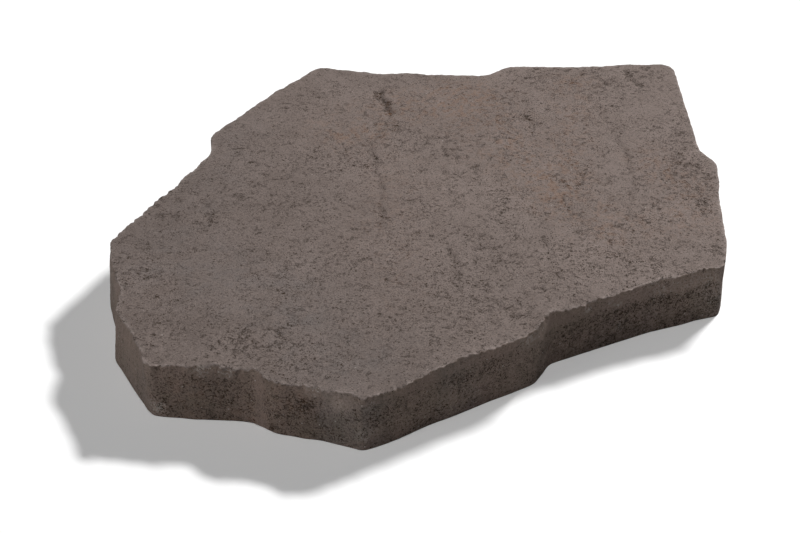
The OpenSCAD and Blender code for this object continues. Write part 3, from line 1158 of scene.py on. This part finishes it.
def cement_cloud_group():
    """Broad clouds of paler and darker cement, in flecks of rust or of a colder grey."""
    inputs = dict(Base_Tone=(0.5, 0.5, 0.5, 1), Pale_Tone=(0.6, 0.6, 0.6, 1), Tint=0.0)
    tree, n, where, base, pale, tint = group("cement cloud", inputs, ["Color", "Rust"])
    cloud = n.ramp(n.noise(where, 0.045, detail=4.0, roughness=0.6), 0.36, 0.66)
    patch = n.ramp(n.noise(where, 0.010, detail=3.0, roughness=0.65), 0.35, 0.68)
    mixed = n.mix(n.plus(n.times(cloud, 0.5), n.times(patch, 0.5)), base, pale)
    fleck = n.ramp(n.noise(where, 0.0055, detail=3.0, roughness=0.7), 0.46, 0.60, 0.06, 1.0)
    rust = n.times(n.math("MAXIMUM", tint, 0.0), fleck, clamp=True)
    patchy = n.ramp(n.noise(where, 0.0075, detail=3.0, roughness=0.6), 0.38, 0.60, 0.4, 1.0)
    cold = n.times(n.times(n.math("MINIMUM", tint, 0.0), -1.0), patchy, clamp=True)
    stained = n.mix(n.times(rust, 0.75), mixed, RUST_STAIN, "MULTIPLY")
    n.put(n.outer.inputs["Color"], n.mix(cold, stained, COLD_STAIN, "MULTIPLY"))
    n.put(n.outer.inputs["Rust"], rust)
    return tree


def form_streaks_group():
    """The upright streaks that the mould's wall draws on the side as the slab is pushed out."""
    inputs = dict(Width=0.0025, Contrast=0.3)
    tree, n, where, width, contrast = group("form streaks", inputs, ["Tone"])
    streak = n.noise(n.stretched(where, (1.0, 1.0, 0.12)), width, detail=3.0, roughness=0.6)
    n.put(n.outer.inputs["Tone"], n.plus(n.times(n.minus(streak, 0.5), contrast), 1.0))
    return tree


OPEN_PORES = open_pores_group()
CRINKLES = crinkles_group()
SAND_GRAIN = sand_grain_group()
CEMENT_CLOUD = cement_cloud_group()
FORM_STREAKS = form_streaks_group()


def concrete(name, finish):
    """One finish of the slab's concrete."""
    material = bpy.data.materials.new(name)
    material.use_nodes = True
    n = Nodes(material.node_tree)
    shader = material.node_tree.nodes["Principled BSDF"]
    where = n.add("ShaderNodeTexCoord").outputs["Object"]
    flattened = n.stretched(where, (1, 1, finish["tear_flatness"]))
    calm = n.attribute(finish["calm"])
    crease_shade, pit, arris = (n.attribute(label) for label in ("crease_shade", "pit", "arris"))
    tint, paleness_and_painted_light, crumbs = (n.attribute(label) for label in ("tint", "paleness_and_painted_light", "crumbs"))
    tones = dict(Base_Tone=finish["grey"], Pale_Tone=finish["pale"])
    cloud = n.use(CEMENT_CLOUD, Vector=where, Tint=tint, **tones).outputs
    grain = n.use(
        SAND_GRAIN,
        Vector=where,
        Size=finish["grain_size"],
        Contrast=finish["grain"],
        Pale_Share=n.math("MULTIPLY_ADD", crumbs, 0.25, finish["pale_grains"]),
    ).outputs
    streaks = n.use(FORM_STREAKS, Vector=where, Width=0.0025, Contrast=finish["streaks"])

    def opened(tree, label, place):
        """Where one kind of hole is open: less where calm, more where the face tore."""
        kind = dict(finish[label])
        dark, calmed, level = kind.pop("dark"), kind.pop("calmed"), kind.pop("level")
        level = n.plus(n.minus(level, n.times(calm, calmed)), n.times(crease_shade, MORE_TORN))
        sizes = {key.capitalize(): value for key, value in kind.items()}
        mask = n.use(tree, Vector=place, Level=level, Drag=finish["squeeze"], **sizes).outputs[0]
        return n.times(mask, dark), n.times(mask, HOLE_DEPTHS[label])

    paler = n.mix(n.times(calm, finish["calm_pale"]), cloud["Color"], finish["pale"])
    # The arris is rubbed pale and given a painted highlight
    rubbed_and_highlit = n.mix(n.times(arris, 0.75), paler, ARRIS_PALE_AND_HIGHLIGHT)
    # The cement's tone, with the painted light across the slab and the painted shade at the base
    tone = n.times(n.times(grain["Tone"], streaks.outputs["Tone"]), paleness_and_painted_light)
    speckled = n.mix(1.0, rubbed_and_highlit, tone, "MULTIPLY")
    crust = n.ramp(n.noise(where, 0.0021, detail=2.0), 0.44, 0.60)
    crusted = n.mix(n.times(crust, crumbs, clamp=True), speckled, GRAIN_PALE)
    flecked = n.mix(grain["Pale Grains"], crusted, GRAIN_PALE)

    dark, sunk = opened(OPEN_PORES, "large", where)
    for more_hole_shade, more_sunk in (
        opened(OPEN_PORES, "small", where),
        opened(CRINKLES, "crinkles", where),
        opened(CRINKLES, "tears", flattened),
    ):
        dark = n.math("MAXIMUM", dark, more_hole_shade)
        sunk = n.plus(sunk, more_sunk)
    # Painted shade along the feet of ledges, in nicks and in the pits
    painted_hollow_shade = n.math("MAXIMUM", n.times(crease_shade, 0.20), n.times(pit, finish["painted_pit_shade"]))
    dark = n.math("MAXIMUM", dark, painted_hollow_shade)
    # The holes are painted black as the shade in them, rusty where the cement is rusty
    painted_pore_shade = n.mix(cloud["Rust"], PORE_SHADE, RUSTY_PORE_SHADE)
    n.put(shader.inputs["Base Color"], n.mix(dark, flecked, painted_pore_shade))
    n.put(shader.inputs["Roughness"], n.ramp(grain["Height"], 0.3, 0.7, 0.82, 0.95))
    shader.inputs["Specular IOR Level"].default_value = 0.25

    rippled = n.minus(finish["ripples"], n.times(calm, 0.7 * finish["ripples"]))
    raised = n.times(n.noise(where, 0.0025, detail=3.0, roughness=0.65), rippled)
    bump = n.add("ShaderNodeBump", Strength=1.0, Distance=MM, Height=n.minus(raised, sunk))
    n.put(shader.inputs["Normal"], bump.outputs[0])
    return material


# Sizes are in metres.  A level says how much of the surface a kind of hole takes, calmed how much
# of that goes where the mould pressed the cement smooth, and hole shade how black the holes are
# painted, as the shade in them.  Painted pit shade darkens the pits the same way.
FACE_FINISH = dict(
    grey=(0.1380, 0.1078, 0.0952, 1),
    pale=(0.1605, 0.1272, 0.1140, 1),
    calm="calm",
    calm_pale=0.25,
    grain_size=0.0011,
    grain=1.6,
    pale_grains=0.0008,
    squeeze=1.04,
    streaks=0.0,
    painted_pit_shade=0.2,
    ripples=0.5,
    tear_flatness=1.0,
    tears=dict(size=0.0040, width=0.042, level=0.32, calmed=0.40, dark=1.0),
    large=dict(size=0.0019, level=0.344, cluster=0.20, softness=0.010, calmed=0.05, dark=1.0),
    small=dict(size=0.0011, level=0.399, cluster=0.12, softness=0.021, calmed=0.05, dark=0.95),
    crinkles=dict(size=0.0021, width=0.044, level=0.447, calmed=0.16, dark=0.98),
)
SIDE_FINISH = dict(
    grey=(0.148, 0.1135, 0.0915, 1),
    pale=(0.180, 0.1318, 0.1115, 1),
    calm="band",
    calm_pale=0.5,
    grain_size=0.0012,
    grain=1.65,
    pale_grains=0.009,
    squeeze=1.0,
    streaks=0.35,
    painted_pit_shade=0.4,
    ripples=0.3,
    tear_flatness=1.9,
    tears=dict(size=0.0038, width=0.046, level=0.37, calmed=0.45, dark=1.0),
    large=dict(size=0.0018, level=0.364, cluster=0.22, softness=0.010, calmed=0.15, dark=1.0),
    small=dict(size=0.0011, level=0.419, cluster=0.12, softness=0.021, calmed=0.12, dark=0.92),
    crinkles=dict(size=0.0020, width=0.042, level=0.425, calmed=0.28, dark=0.95),
)
UNDER_FINISH = dict(SIDE_FINISH, streaks=0.0, calm_pale=0.3)

FINISHES = {"riven face": FACE_FINISH, "pressed side": SIDE_FINISH, "cast underside": UNDER_FINISH}
for label, finish in FINISHES.items():
    slab.data.materials.append(concrete(label, finish))

# -------------------------------------------------------------------------------------- studio


def studio_floor(half_width):
    """A pale square floor, which throws less light back than it shows."""
    mesh = bpy.data.meshes.new("studio_floor")
    mesh.from_pydata(
        [(x * half_width, y * half_width, 0) for x, y in ((-1, -1), (1, -1), (1, 1), (-1, 1))],
        [],
        [(0, 1, 2, 3)],
    )
    floor = in_scene("studio_floor", mesh)
    material = bpy.data.materials.new("pale floor")
    material.use_nodes = True
    shader = material.node_tree.nodes["Principled BSDF"]
    n = Nodes(material.node_tree)
    seen = n.add("ShaderNodeLightPath").outputs["Is Camera Ray"]
    n.put(shader.inputs["Base Color"], n.mix(seen, (0.6, 0.6, 0.6, 1), (0.9, 0.9, 0.9, 1)))
    shader.inputs["Roughness"].default_value = 1.0
    shader.inputs["Specular IOR Level"].default_value = 0.0
    mesh.materials.append(material)


def turn(thing, direction, front):
    """Turns a thing until its front axis looks in that direction."""
    thing.rotation_mode = "QUATERNION"
    thing.rotation_quaternion = Vector(direction).to_track_quat(front, "Y")


def soft_sun(name, towards, strength, spread):
    """A lamp far away, whose light comes from that direction, spread over that angle."""
    light = bpy.data.lights.new(name, "SUN")
    light.energy = strength
    light.angle = math.radians(spread)
    turn(in_scene(name, light), towards, "Z")


def from_above(azimuth, elevation):
    """The direction at an angle round from +X and an angle above the floor, in degrees."""
    a, e = math.radians(azimuth), math.radians(elevation)
    return (math.cos(a) * math.cos(e), math.sin(a) * math.cos(e), math.sin(e))


def key_lamp(place, power, width, height):
    """The main lamp, near enough that shadows spread.  It is as strong close by as far away."""
    light = bpy.data.lights.new("key light", "AREA")
    light.energy = power
    light.shape = "ELLIPSE"
    light.size = width
    light.size_y = height
    light.use_nodes = True
    n = Nodes(light.node_tree)
    falloff = n.add("ShaderNodeLightFalloff", Strength=1.0)
    n.put(light.node_tree.nodes["Emission"].inputs["Strength"], falloff.outputs["Constant"])
    lamp = in_scene("key light", light)
    lamp.location = place
    turn(lamp, place, "Z")


studio_floor(half_width=6.0)
key_lamp(place=(1.46, 0.0, 1.33), power=12.0, width=0.42, height=0.175)
soft_sun("overhead light", from_above(-136, 83), 1.15, 4)
soft_sun("left fill", from_above(166, 6), 1.18, 16)

world = bpy.data.worlds.new("studio")
bpy.context.scene.world = world
world.use_nodes = True
w = Nodes(world.node_tree)
background = world.node_tree.nodes["Background"]
seen = w.add("ShaderNodeLightPath").outputs["Is Camera Ray"]
w.put(background.inputs["Color"], w.mix(seen, (0.03, 0.03, 0.03, 1), (0.983, 0.983, 0.983, 1)))

AIM_FROM_MIDDLE = Vector((-79.1, -40.1, 43.0)) * MM  # from the middle of the CAD box's base
CAMERA_DISTANCE = 1.2824
CAMERA_AZIMUTH, CAMERA_ELEVATION = -135.83, 35.15

camera_data = bpy.data.cameras.new("camera")
camera_data.sensor_width = 36
camera_data.lens = 86.1
camera_data.clip_start = 0.05
camera_data.clip_end = 50
camera = in_scene("camera", camera_data)
middle = (Vector(cad_box[0]) + Vector(cad_box[1])) / 2
aim = Vector((middle.x, middle.y, cad_box[0][2])) + AIM_FROM_MIDDLE
back = Vector(from_above(CAMERA_AZIMUTH, CAMERA_ELEVATION))
camera.location = aim + back * CAMERA_DISTANCE
turn(camera, -back, "-Z")
bpy.context.scene.camera = camera
bpy.context.scene.view_settings.view_transform = "Standard"
